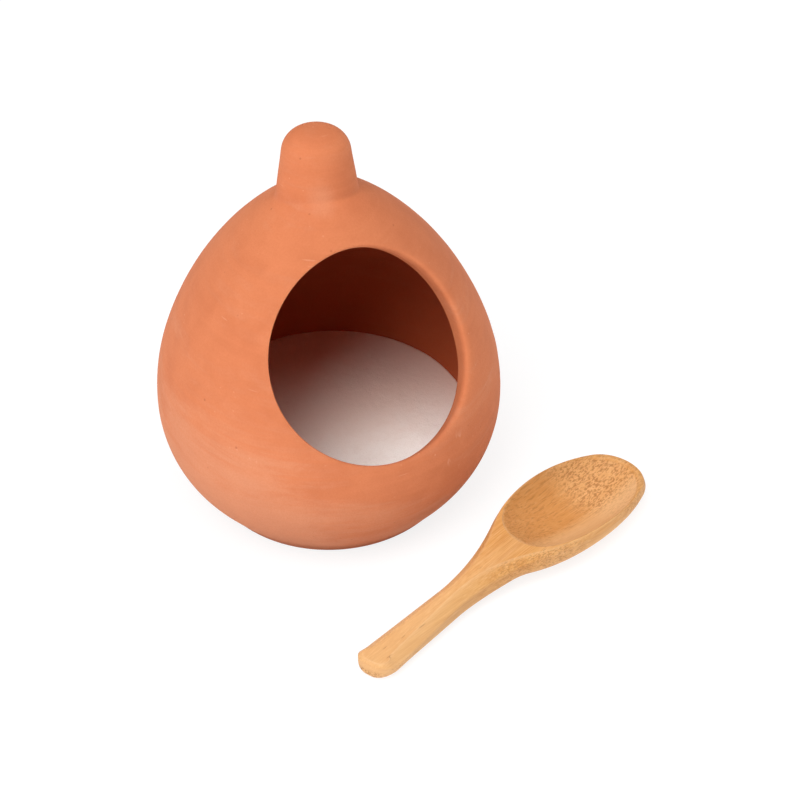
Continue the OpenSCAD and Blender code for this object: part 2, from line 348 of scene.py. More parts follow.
class Chain:
    """An outline drawn with lines and arcs, upright in the plane of x and z or flat in that of x and y."""

    def __init__(self, bm, start, upright):
        self.bm = bm
        self.upright = upright
        self.tip = bm.verts.new(self._place(*start))

    def _place(self, along, across):
        return (along, 0, across) if self.upright else (along, across, 0)

    def line(self, along, across, steps):
        """Draws a straight stretch to a point."""
        start, end = self.tip.co.copy(), Vector(self._place(along, across))
        for i in range(steps):
            self.tip = bmesh.ops.extrude_vert_indiv(self.bm, verts=[self.tip])["verts"][0]
            self.tip.co = start.lerp(end, (i + 1) / steps)
        return self

    def arc(self, along, across, turn, steps):
        """Draws an arc about a centre, turning left for a positive angle."""
        made = bmesh.ops.spin(
            self.bm, geom=[self.tip], cent=self._place(along, across),
            axis=(0, -1, 0) if self.upright else (0, 0, 1), dvec=(0, 0, 0),
            angle=turn, steps=steps, use_merge=False, use_normal_flip=False, use_duplicate=False)
        self.tip = next(v for v in made["geom_last"] if isinstance(v, bmesh.types.BMVert))
        return self


def spin_round(bm, verts, edges, steps):
    """Spins an outline once round the jar's axis and closes the seam."""
    bmesh.ops.spin(
        bm, geom=[*verts, *edges], cent=(0, 0, 0), axis=(0, 0, 1), dvec=(0, 0, 0), angle=math.tau, steps=steps,
        use_merge=True, use_normal_flip=False, use_duplicate=False)


def new_object(bm, name, material):
    """Turns a finished mesh into an object of the scene."""
    mesh = bpy.data.meshes.new(name)
    bm.to_mesh(mesh)
    bm.free()
    mesh.materials.append(material)
    made = bpy.data.objects.new(name, mesh)
    bpy.context.scene.collection.objects.link(made)
    return made


def finish_piece(bm, name, body, node, material):
    """Makes the finished mesh a smooth-shaded piece that rides on its body in place of its CAD node."""
    piece = new_object(bm, name, material)
    faces = piece.data.polygons
    faces.foreach_set("use_smooth", [True] * len(faces))
    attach(piece, body)
    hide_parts(node)


def ordered_loop(edges, start):
    """The vertices of a closed loop of edges, from a start vertex towards its neighbour with the higher x."""
    linked = {}
    for edge in edges:
        for vert in edge.verts:
            linked.setdefault(vert, []).append(edge.other_vert(vert))
    loop = [start, max(linked[start], key=lambda v: v.co.x)]
    while True:
        after = next(v for v in linked[loop[-1]] if v is not loop[-2])
        if after is start:
            return loop
        loop.append(after)


def extruded_ring(bm, loop):
    """Extrudes a closed loop of vertices once and returns the new loop in the same order."""
    edges = [bm.edges.get((loop[i - 1], loop[i])) for i in range(len(loop))]
    made = bmesh.ops.extrude_edge_only(bm, edges=edges)["geom"]
    fresh = {v for v in made if isinstance(v, bmesh.types.BMVert)}
    return [next(e.other_vert(v) for e in v.link_edges if e.other_vert(v) in fresh) for v in loop]


def bend3(first, middle, last, share):
    """A point on the curve that leaves first towards middle and comes into last from there."""
    return first.lerp(middle, share).lerp(middle.lerp(last, share), share)


def halved(low, high, steps, beyond):
    """Closes in, from both sides, on the place between low and high from which beyond holds."""
    for _ in range(steps):
        middle = (low + high) / 2
        if beyond(middle):
            high = middle
        else:
            low = middle
    return low, high


def smooth_step(value, low, high):
    """Rises smoothly from 0 at low to 1 at high."""
    share = min(1, max(0, (value - low) / (high - low)))
    return share * share * (3 - 2 * share)


class JarShape:
    """The jar's curves, worked out from its settings."""

    COLUMNS = 240
    WINDOW = math.radians(75)
    BASE_STEPS, FOOT_STEPS, CONE_STEPS, FLOOR_STEPS = 8, 7, 7, 6
    LOWER_STEPS, UPPER_STEPS, SHOULDER_STEPS = 24, 18, 60
    FILLET_STEPS, SIDE_STEPS, CORNER_STEPS, CROWN_STEPS = 7, 11, 14, 9
    WINDOW_ROWS = 76
    ROOF_STEPS, ROOF_ROWS = 16, 9
    GATHER_RINGS, LIP_RINGS, BORE_RINGS, INNER_RINGS, SPREAD_RINGS = 16, 12, 6, 6, 12
    LIP_LIMIT_SHARE = 0.8
    KNOB_FOOT_SHARES, KNOB_SEAT_SHARES = (0.765, 0.8), (0.84, 0.97)
    KNOB_REACH_SHARES = (1.5, 1.9)

    def __init__(self, s):
        self.s = s
        self.lower_r = s.belly_radius - s.lower_bend
        self.upper_r = s.belly_radius - s.upper_bend
        self.low_r = self.lower_r + s.lower_bend * math.cos(s.lower_turn)
        self.low_z = s.belly_height - s.lower_bend * math.sin(s.lower_turn)
        self.high_z = s.belly_height + s.upper_bend * math.sin(s.upper_turn)
        rest = s.upper_bend - s.shoulder_bend
        self.shoulder_r = self.upper_r + rest * math.cos(s.upper_turn)
        self.shoulder_z = s.belly_height + rest * math.sin(s.upper_turn)
        self.base_r = self.low_r - self.low_z * math.tan(s.lower_turn)
        self.foot_r = self.base_r + s.foot_round * (math.tan(s.lower_turn) - 1 / math.cos(s.lower_turn))
        lean = math.tan(s.knob_draft)
        side = s.knob_radius + s.knob_top * lean
        self.crown_z = s.knob_top - s.knob_crown
        self.corner = self._on_side(
            side - s.knob_corner / math.cos(s.knob_draft), lean, 0, self.crown_z, s.knob_crown - s.knob_corner)
        self.crown_turn = math.atan2(self.corner.y - self.crown_z, self.corner.x)
        self.fillet = self._on_side(
            side + s.knob_fillet / math.cos(s.knob_draft), lean,
            self.shoulder_r, self.shoulder_z, s.shoulder_bend + s.knob_fillet)
        self.fillet_turn = math.atan2(self.fillet.y - self.shoulder_z, self.fillet.x - self.shoulder_r)
        reach = s.shoulder_bend - s.wall - s.roof_round
        self.roof_z = self.shoulder_z + math.sqrt(reach ** 2 - self.shoulder_r ** 2)
        self.roof_turn = math.atan2(self.roof_z - self.shoulder_z, -self.shoulder_r)

    @staticmethod
    def _on_side(axis_r, lean, centre_r, centre_z, distance):
        """The upper point of a leaning line that lies at a distance from a centre."""
        a = 1 + lean * lean
        b = (axis_r - centre_r) * lean + centre_z
        c = (axis_r - centre_r) ** 2 + centre_z ** 2 - distance ** 2
        z = (b + math.sqrt(b * b - a * c)) / a
        return Vector((axis_r - z * lean, z))

    def radius(self, z, inset):
        """Radius at a height of the wall's outside, or of a surface set in from it."""
        s = self.s
        if inset and z > self.roof_z + s.roof_round * math.sin(self.roof_turn):
            return math.sqrt(max(0, s.roof_round ** 2 - (z - self.roof_z) ** 2))
        if not inset and z < self.low_z:
            return self.base_r + z * math.tan(s.lower_turn)
        if z < s.belly_height:
            return self.lower_r + math.sqrt(max(0, (s.lower_bend - inset) ** 2 - (z - s.belly_height) ** 2))
        if z < self.high_z - inset * math.sin(s.upper_turn):
            return self.upper_r + math.sqrt(max(0, (s.upper_bend - inset) ** 2 - (z - s.belly_height) ** 2))
        return self.shoulder_r + math.sqrt(max(0, (s.shoulder_bend - inset) ** 2 - (z - self.shoulder_z) ** 2))

    def shoulder(self, point):
        """Height of the shoulder, carried on under the knob, above or below a point."""
        away = math.hypot(point.x, point.y) - self.shoulder_r
        return self.shoulder_z + math.sqrt(max(0, self.s.shoulder_bend ** 2 - away ** 2))

    def tube(self, turn, radius, along):
        """A point on a tube about the mouth's axis."""
        s = self.s
        rise, run = math.sin(s.mouth_rise), math.cos(s.mouth_rise)
        up = radius * math.sin(turn)
        return Vector((
            radius * math.cos(turn), up * rise - along * run, s.mouth_height + up * run + along * rise))

    def on_tube(self, point):
        """The turn and radius of a point about the mouth's axis."""
        s = self.s
        up = point.y * math.sin(s.mouth_rise) + (point.z - s.mouth_height) * math.cos(s.mouth_rise)
        return math.atan2(up, point.x), math.hypot(point.x, up)

    def leave(self, turn, radius, inset):
        """How far along the mouth's axis a line of the tube leaves the outside, or the inside."""
        def outside(along):
            p = self.tube(turn, radius, along)
            return math.hypot(p.x, p.y) > self.radius(p.z, inset)
        return halved(0, 2 * self.s.belly_radius, 36, outside)[0]

    def on_wall(self, turn, radius, inset):
        """The point where a line of the tube leaves the outside, or the inside."""
        return self.tube(turn, radius, self.leave(turn, radius, inset))

    def draw_outside(self, bm):
        """Half outline of the outside, from the middle of the base to the top of the knob."""
        s = self.s
        chain = Chain(bm, (0, 0), True).line(self.foot_r, 0, self.BASE_STEPS)
        chain.arc(self.foot_r, s.foot_round, math.pi / 2 - s.lower_turn, self.FOOT_STEPS)
        chain.line(self.low_r, self.low_z, self.CONE_STEPS)
        chain.arc(self.lower_r, s.belly_height, s.lower_turn, self.LOWER_STEPS)
        chain.arc(self.upper_r, s.belly_height, s.upper_turn, self.UPPER_STEPS)
        chain.arc(self.shoulder_r, self.shoulder_z, self.fillet_turn - s.upper_turn, self.SHOULDER_STEPS)
        chain.arc(self.fillet.x, self.fillet.y, s.knob_draft - self.fillet_turn, self.FILLET_STEPS)
        chain.line(
            self.corner.x + s.knob_corner * math.cos(s.knob_draft),
            self.corner.y + s.knob_corner * math.sin(s.knob_draft), self.SIDE_STEPS)
        chain.arc(self.corner.x, self.corner.y, self.crown_turn - s.knob_draft, self.CORNER_STEPS)
        chain.arc(0, self.crown_z, math.pi / 2 - self.crown_turn, self.CROWN_STEPS)

    def draw_inside(self, bm):
        """Half outline of the hollow, from the middle of the floor to the roof."""
        s = self.s
        dip = math.asin((s.belly_height - s.floor) / (s.lower_bend - s.wall))
        shoulder_rows = self.WINDOW_ROWS - self.UPPER_STEPS - self.ROOF_ROWS
        chain = Chain(bm, (0, s.floor), True)
        chain.line(self.lower_r + (s.lower_bend - s.wall) * math.cos(dip), s.floor, self.FLOOR_STEPS)
        chain.arc(self.lower_r, s.belly_height, dip, self.LOWER_STEPS)
        chain.arc(self.upper_r, s.belly_height, s.upper_turn, self.UPPER_STEPS)
        chain.arc(self.shoulder_r, self.shoulder_z, self.roof_turn - s.upper_turn, shoulder_rows)
        chain.arc(0, self.roof_z, math.pi / 2 - self.roof_turn, self.ROOF_STEPS)

    def window_top(self, inset):
        """Height of the upper edge of the window that the mouth is set into."""
        s = self.s
        if inset:
            turn = self.roof_turn + (math.pi / 2 - self.roof_turn) * self.ROOF_ROWS / self.ROOF_STEPS
            return self.roof_z + s.roof_round * math.sin(turn)
        rows = (self.WINDOW_ROWS - self.UPPER_STEPS) / self.SHOULDER_STEPS
        turn = s.upper_turn + (self.fillet_turn - s.upper_turn) * rows
        return self.shoulder_z + s.shoulder_bend * math.sin(turn)


def spun_shell(bm, shape, draw, inset):
    """Spins an outline round the jar's axis, opens the window for the mouth and returns the window's loop."""
    known = set(bm.verts)
    draw(bm)
    fresh = [v for v in bm.verts if v not in known]
    spin_round(bm, fresh, {e for v in fresh for e in v.link_edges}, shape.COLUMNS)
    fresh = [v for v in bm.verts if v not in known]
    bmesh.ops.rotate(bm, verts=fresh, cent=(0, 0, 0), matrix=Matrix.Rotation(-math.pi / 2, 3, "Z"))
    bmesh.ops.remove_doubles(bm, verts=fresh, dist=0.02 * MM)
    fresh = {v for v in bm.verts if v not in known}
    low, high = shape.s.belly_height, shape.window_top(inset)
    inside = []
    for face in bm.faces:
        if face.verts[0] in fresh:
            centre = face.calc_center_median()
            if low < centre.z < high and abs(math.atan2(centre.x, -centre.y)) < shape.WINDOW:
                inside.append(face)
    bmesh.ops.delete(bm, geom=inside, context="FACES")
    rim = [e for e in bm.edges if e.is_boundary and e.verts[0] in fresh]
    start = min((v for e in rim for v in e.verts), key=lambda v: (round(abs(v.co.x) / MM, 3), -v.co.z))
    return ordered_loop(rim, start)


def jar_mesh(shape):
    """The jar: outside and inside shells, joined through the mouth by its rounded lip."""
    s = shape.s
    bm = bmesh.new()
    # The inside mark carries the painted shade of the inner clay.
    inside_mark = bm.verts.layers.float.new("inside")
    inner = spun_shell(bm, shape, shape.draw_inside, s.wall)
    for vert in bm.verts:
        vert[inside_mark] = 1
    outer = spun_shell(bm, shape, shape.draw_outside, 0)
    count = len(outer)
    even = [math.pi / 2 - math.tau * i / count for i in range(count)]

    def near(turn, goal):
        return turn + math.tau * round((goal - turn) / math.tau)

    def rings(loop, points_of, steps, mark):
        for k in range(1, steps + 1):
            loop = extruded_ring(bm, loop)
            for i, vert in enumerate(loop):
                vert.co = points_of(i, k / steps)
                vert[inside_mark] = mark[i]
        return loop

    def gather(loop, far, inset):
        places = [shape.on_tube(v.co) for v in loop]

        def point(i, share):
            turn, radius = places[i]
            share = 1 - (1 - share) ** 1.4
            turn = near(turn, even[i]) * (1 - share) + even[i] * share
            return shape.on_wall(turn, radius + (far[i] - radius) * share, inset)
        return point

    softness = [(0.5 + 0.5 * math.cos(t - s.lip_turn)) ** 1.2 for t in even]
    soft = [s.lip_crisp + (s.lip_run - s.lip_crisp) * share for share in softness]
    wide = [
        s.mouth_radius - s.mouth_trim - s.mouth_left * math.cos(t) - s.mouth_drop * math.sin(t)
        - s.mouth_slant * math.sin(2 * t) for t in even]
    narrow = [r + s.mouth_flare * max(0, math.sin(t)) for t, r in zip(even, wide)]
    far = [r + run for r, run in zip(wide, soft)]
    inner_far = [r + s.inner_run for r in narrow]

    def on_wall(radii, inset):
        return [shape.on_wall(t, r, inset) for t, r in zip(even, radii)]

    start, corner = on_wall(far, 0), on_wall(wide, 0)
    inner_start, inner_corner = on_wall(inner_far, s.wall), on_wall(narrow, s.wall)
    down = [
        c + (d - c) * min(shape.LIP_LIMIT_SHARE, run * s.lip_deep / (d - c).length)
        for c, d, run in zip(corner, inner_corner, soft)]
    up = [d + (c - d).normalized() * s.inner_run for c, d in zip(corner, inner_corner)]

    spread = gather(inner, inner_far, s.wall)
    outside, inside = [0] * count, [1] * count
    # Painted shade: the bore of the mouth takes part of the inner clay colour, most at the top of the mouth.
    between = [0.5 + 0.25 * max(0, math.sin(t)) for t in even]
    loop = rings(outer, gather(outer, far, 0), shape.GATHER_RINGS, outside)
    loop = rings(loop, lambda i, q: bend3(start[i], corner[i], down[i], q), shape.LIP_RINGS, outside)
    loop = rings(loop, lambda i, q: down[i].lerp(up[i], q), shape.BORE_RINGS, between)
    loop = rings(loop, lambda i, q: bend3(up[i], inner_corner[i], inner_start[i], q), shape.INNER_RINGS, inside)
    loop = rings(loop, lambda i, q: spread(i, 1 - q), shape.SPREAD_RINGS, inside)
    for vert, seat in zip(loop, inner):
        vert.co = seat.co
    bmesh.ops.remove_doubles(bm, verts=loop + inner, dist=0.001 * MM)
    bmesh.ops.recalc_face_normals(bm, faces=bm.faces)
    return bm


def hand_made(bm, shape):
    """Sets the knob off the axis on the shoulder and lets the wall waver inwards, as on a jar made by hand."""
    s = shape.s
    foot, top_foot = [s.knob_top * share for share in shape.KNOB_FOOT_SHARES]
    seat, top_seat = [s.knob_top * share for share in shape.KNOB_SEAT_SHARES]
    reach, far_reach = [s.knob_radius * share for share in shape.KNOB_REACH_SHARES]
    inside_mark = bm.verts.layers.float["inside"]
    side = Vector((math.cos(s.knob_turn), -math.sin(s.knob_turn), 0))
    back = Vector((math.sin(s.knob_turn), math.cos(s.knob_turn), 0))
    bm.normal_update()
    moves = []
    for vert in bm.verts:
        p = vert.co
        lift = smooth_step(p.z, foot, top_foot) * (1 - vert[inside_mark])
        lift *= 1 - smooth_step(math.hypot(p.x, p.y), reach, far_reach)
        broad = 0.5 + 0.5 * noise.noise(p * 34)
        ring = 0.5 + 0.5 * noise.noise(Vector((p.x * 8, p.y * 8, p.z * 170)))
        depth = s.unevenness * (0.7 * broad + 0.3 * ring) * smooth_step(p.z, 0, 4 * MM)
        sideways = p.dot(side) * (s.knob_wide - 1) - s.knob_left + s.knob_lean * (p.z - seat)
        move = lift * (side * sideways + back * (p.dot(back) * (s.knob_deep - 1) + s.knob_back))
        settle = shape.shoulder(p + move) - shape.shoulder(p)
        move.z = settle * (1 - smooth_step(p.z, seat, top_seat))
        moves.append(move - vert.normal * depth * (1 - vert[inside_mark]))
    for vert, move in zip(bm.verts, moves):
        vert.co += move


def clay_material(s):
    """Fired clay: mottled, wiped, with pale bloom, pits and specks, painted bounce light low on the left and front,
    and painted shade at the foot and inside.
    """
    material, b = new_board("fired_clay")
    place = b.object_place()
    x, _, z = b.split(place)
    broad = b.noise(place, 24, 4, 0.6)
    blotch = b.noise(place, 95, 4, 0.6, 0.4)
    wiped = b.noise(b.mapped(place, (14, 14, 300)), 1, 5, 0.65, 0.4)
    grain = b.noise(place, 1500, 3, 0.7)
    fine = b.ramp(grain, 0.35, 0.68)
    tone = b.ramp(broad * 0.5 + blotch * 0.28 + wiped * 0.3, 0.40, 0.72)
    # Painted bounce light: the pale bloom is made stronger low on the left and low at the front, where light thrown
    # up from the floor falls.
    painted_bounce_left = b.ramp(x * -1, 5 * MM, 50 * MM) * b.ramp(z, 70 * MM, 35 * MM)
    painted_bounce_front = b.ramp(z, 40 * MM, 12 * MM)
    drift = b.noise(b.mapped(place, (20, 20, 62)), 1, 5, 0.65, 0.5) * 0.65 + wiped * 0.35
    bloom_and_bounce = b.ramp(drift + painted_bounce_left * 0.22 + painted_bounce_front * 0.14, 0.50, 0.76)
    smear = b.ramp(b.distance(place, SMEAR_PLACE) + blotch * 4 * MM, 9 * MM, 3 * MM)
    strokes = b.mapped(place, (75, 75, 900), (2, 5, 1))
    stroke = b.ramp(b.cells(strokes, 1), 0.24, 0.1) * b.chosen(strokes, 1, 0, 0.9)
    scuffs = b.mapped(place, (420, 420, 160), (0, 0, 0), (0, 0.5, 0.4))
    scuff = b.ramp(b.noise(scuffs, 1, 2, 0.5), 0.56, 0.68)
    scuff = scuff * b.ramp(b.distance(place, SCUFF_PLACE), 9 * MM, 4 * MM)
    patch = b.noise(place, 260, 3, 0.6)
    speckled = b.ramp(b.noise(place, 60, 2, 0.5), 0.5, 0.7)
    speck = b.ramp(b.cells(place, 700) + patch * 0.4, 0.48, 0.3) * b.chosen(place, 700, 0, 0.86) * speckled
    pit = b.ramp(b.cells(place, 330) + patch * 0.3, 0.32, 0.2) * b.chosen(place, 330, 1, 0.95)
    # Painted shade: the clay darkens towards the pits colour near the bottom, standing in for the contact shadow at
    # the foot.
    foot = b.ramp(z + (wiped - 0.5) * 1.2 * MM, 9 * MM, 4 * MM)
    skin = b.coats(
        s.clay, (tone * 0.7, s.clay_deep), (bloom_and_bounce * 0.48, s.clay_pale), (smear * 0.35, s.clay_pale),
        (stroke * b.ramp(blotch, 0.42, 0.6) * 0.4, s.clay_pale), (scuff * 0.65, s.clay_pale),
        (fine * 0.16, s.clay_deep), (speck * 0.55, s.clay_pale), (pit * 0.5, s.pit), (foot * 0.45, s.pit),
        # Painted shade inside the jar, and partly on the bore of the mouth.
        (b.ramp(b.attribute("inside"), 0.5, 1) * 0.8, s.inner_painted_shade))
    height = fine * 0.35 + wiped * 0.45 - pit * 1.2 + speck * 0.3
    b.surface({
        "Base Color": skin,
        "Roughness": 0.8 + fine * 0.14,
        "Specular IOR Level": 0.25,
        "Normal": b.bump(height, 0.15 * MM, 0.5),
    })
    return material


def salt_mesh(shape, s, jar):
    """The salt: a fill with a softly rippled top that meets the wall unevenly."""
    bm = bmesh.new()
    inset = jar.wall + s.gap
    bend = jar.lower_bend - inset
    low = math.asin((jar.belly_height - jar.floor) / bend)
    high = math.asin((jar.belly_height - s.level) / bend)
    chain = Chain(bm, (0, jar.floor), True)
    chain.line(shape.lower_r + bend * math.cos(low), jar.floor, 6)
    chain.arc(shape.lower_r, jar.belly_height, low - high, 10)
    chain.line(0, s.level, 90)
    spin_round(bm, bm.verts, bm.edges, 220)
    bmesh.ops.remove_doubles(bm, verts=bm.verts, dist=0.02 * MM)
    edge = shape.lower_r + bend * math.cos(high)
    for vert in bm.verts:
        p = vert.co
        if p.z > s.level - 0.01 * MM:
            dip = 0.6 * noise.noise(p * 55) + 0.4 * noise.noise(p * 210)
            ragged = noise.noise(p * 900) * smooth_step(math.hypot(p.x, p.y), edge - 2 * MM, edge)
            vert.co.z -= s.ripple * (0.5 + 0.5 * dip) + 0.25 * MM * (0.5 + 0.5 * ragged)
    bmesh.ops.recalc_face_normals(bm, faces=bm.faces)
    return bm


def salt_material(s):
    """Fine salt: bright grains with small dark gaps between them, and a painted warm shade towards the back."""
    material, b = new_board("fine_salt")
    place = b.object_place()
    grains = b.cells(place, 2900)
    drift = b.noise(place, 130, 4, 0.6)
    lumps = b.noise(place, 520, 3, 0.6)
    gap = b.ramp(grains, 0.45, 0.9)
    tone = gap * 0.4 + b.ramp(drift, 0.45, 0.75) * 0.2 + b.ramp(lumps, 0.5, 0.75) * 0.15
    # Painted shade: the salt turns to the warm tint towards the back, where the mouth's shade falls.
    shade_at_back = b.ramp(b.split(place)[1] + (drift - 0.5) * 12 * MM, -34 * MM, 6 * MM)
    b.surface({
        "Base Color": b.mix(shade_at_back * 0.75, b.mix(tone, s.white, s.grey), s.back_shade_tint),
        "Roughness": 0.7 + gap * 0.2,
        "Specular IOR Level": 0.25,
        "Normal": b.bump(lumps - gap * 0.35, 0.22 * MM, 0.5),
    })
    return material


class SpoonShape:
    """The spoon's curves in its own frame: along from the handle's end, across, and up."""

    EDGE_RINGS, TOP_RINGS, RIM_RINGS, HOLLOW_RINGS = 7, 16, 5, 22
    SIDE_RINGS, LOWER_RINGS, BELLY_RINGS = 5, 5, 14
    MEET = 2 * MM
    FULLER_SHARE = 0.07

    def __init__(self, s):
        self.s = s
        self.tip_place = s.length - s.tip_radius
        self.bowl_half, self.neck_half, self.end_half = s.bowl_width / 2, s.neck_width / 2, s.end_width / 2
        gap = (s.bowl_bend - s.tip_radius) ** 2 - (s.bowl_bend - self.bowl_half) ** 2
        self.bowl_place = self.tip_place - math.sqrt(gap)
        rise = self.neck_half + s.neck_bend + s.bowl_bend - self.bowl_half
        reach = s.bowl_bend + s.neck_bend
        self.neck_place = self.bowl_place - math.sqrt(reach ** 2 - rise ** 2)
        self.neck_turn = math.acos(rise / reach)
        self.tip_turn = math.acos((self.tip_place - self.bowl_place) / (s.bowl_bend - s.tip_radius))
        self.top_place = s.handle_straight + s.top_bend * math.sin(s.handle_slope)
        self.top_z = s.end_height + s.handle_straight * math.tan(s.handle_slope)
        self.top_z -= s.top_bend * math.cos(s.handle_slope)
        self.lean = math.asin((s.hollow_place - self.top_place) / s.top_bend)
        self.hollow_z = self.top(s.hollow_place)

    def draw_outline(self, bm):
        """The outline from above: one half, and its mirror image."""
        s = self.s
        straight = self.end_half - s.end_round
        chain = Chain(bm, (0, 0), False).line(0, straight, 3)
        chain.arc(s.end_round, straight, -math.pi / 2, 14)
        chain.line(self.neck_place, self.neck_half, 44)
        chain.arc(self.neck_place, self.neck_half + s.neck_bend, self.neck_turn, 34)
        chain.arc(self.bowl_place, self.bowl_half - s.bowl_bend, self.tip_turn - math.pi / 2 - self.neck_turn, 56)
        chain.arc(self.tip_place, 0, -self.tip_turn, 30)
        bmesh.ops.mirror(
            bm, geom=list(bm.verts) + list(bm.edges), axis="Y", matrix=Matrix.Identity(4), merge_dist=0.005 * MM)

    def top(self, along, across=0):
        """Height of the top face, which is slightly round across the handle."""
        s = self.s
        fall = s.crown * (across / self.end_half) ** 2
        fall *= 1 - smooth_step(along, s.handle_straight, s.handle_straight + 25 * MM)
        if along < s.handle_straight:
            return s.end_height + along * math.tan(s.handle_slope) - fall
        return self.top_z + math.sqrt(s.top_bend ** 2 - (along - self.top_place) ** 2) - fall

    def underside(self, along, across):
        """Height of the underside: the round of the handle, running into the round of the bowl."""
        s = self.s
        axis = s.handle_round / math.cos(s.handle_lift) + along * math.tan(s.handle_lift)
        handle = axis - math.sqrt(max(0, s.handle_round ** 2 - across ** 2)) / math.cos(s.handle_lift)
        left = 1 - ((along - s.keel_place) / s.keel_reach) ** 2 - (across / s.keel_breadth) ** 2
        bowl = s.keel_depth * (1 - math.sqrt(max(0, left)))
        close = max(0, self.MEET - abs(handle - bowl)) / self.MEET
        return max(0, min(handle, bowl) - close * close * self.MEET / 4)

    def hollow(self, turn, dip):
        """A point on the wall of the hollow, at a turn about its middle and an angle down from its rim."""
        s = self.s
        fuller = 1 + self.FULLER_SHARE * math.sin(2 * turn) ** 2 if math.cos(turn) < 0 else 1
        along = s.hollow_reach * fuller * math.cos(dip) * math.cos(turn)
        down = -s.hollow_depth * math.copysign(abs(math.sin(dip)) ** s.hollow_fall, dip)
        return Vector((
            s.hollow_place + along * math.cos(self.lean) + down * math.sin(self.lean),
            s.hollow_breadth * fuller * math.cos(dip) * math.sin(turn),
            self.hollow_z - along * math.sin(self.lean) + down * math.cos(self.lean)))

    def rim(self, turn):
        """The angle down at which the hollow meets the top face."""
        def under_top(dip):
            p = self.hollow(turn, dip)
            return p.z <= self.top(p.x)
        return halved(-0.2, 1.2, 30, under_top)[1]


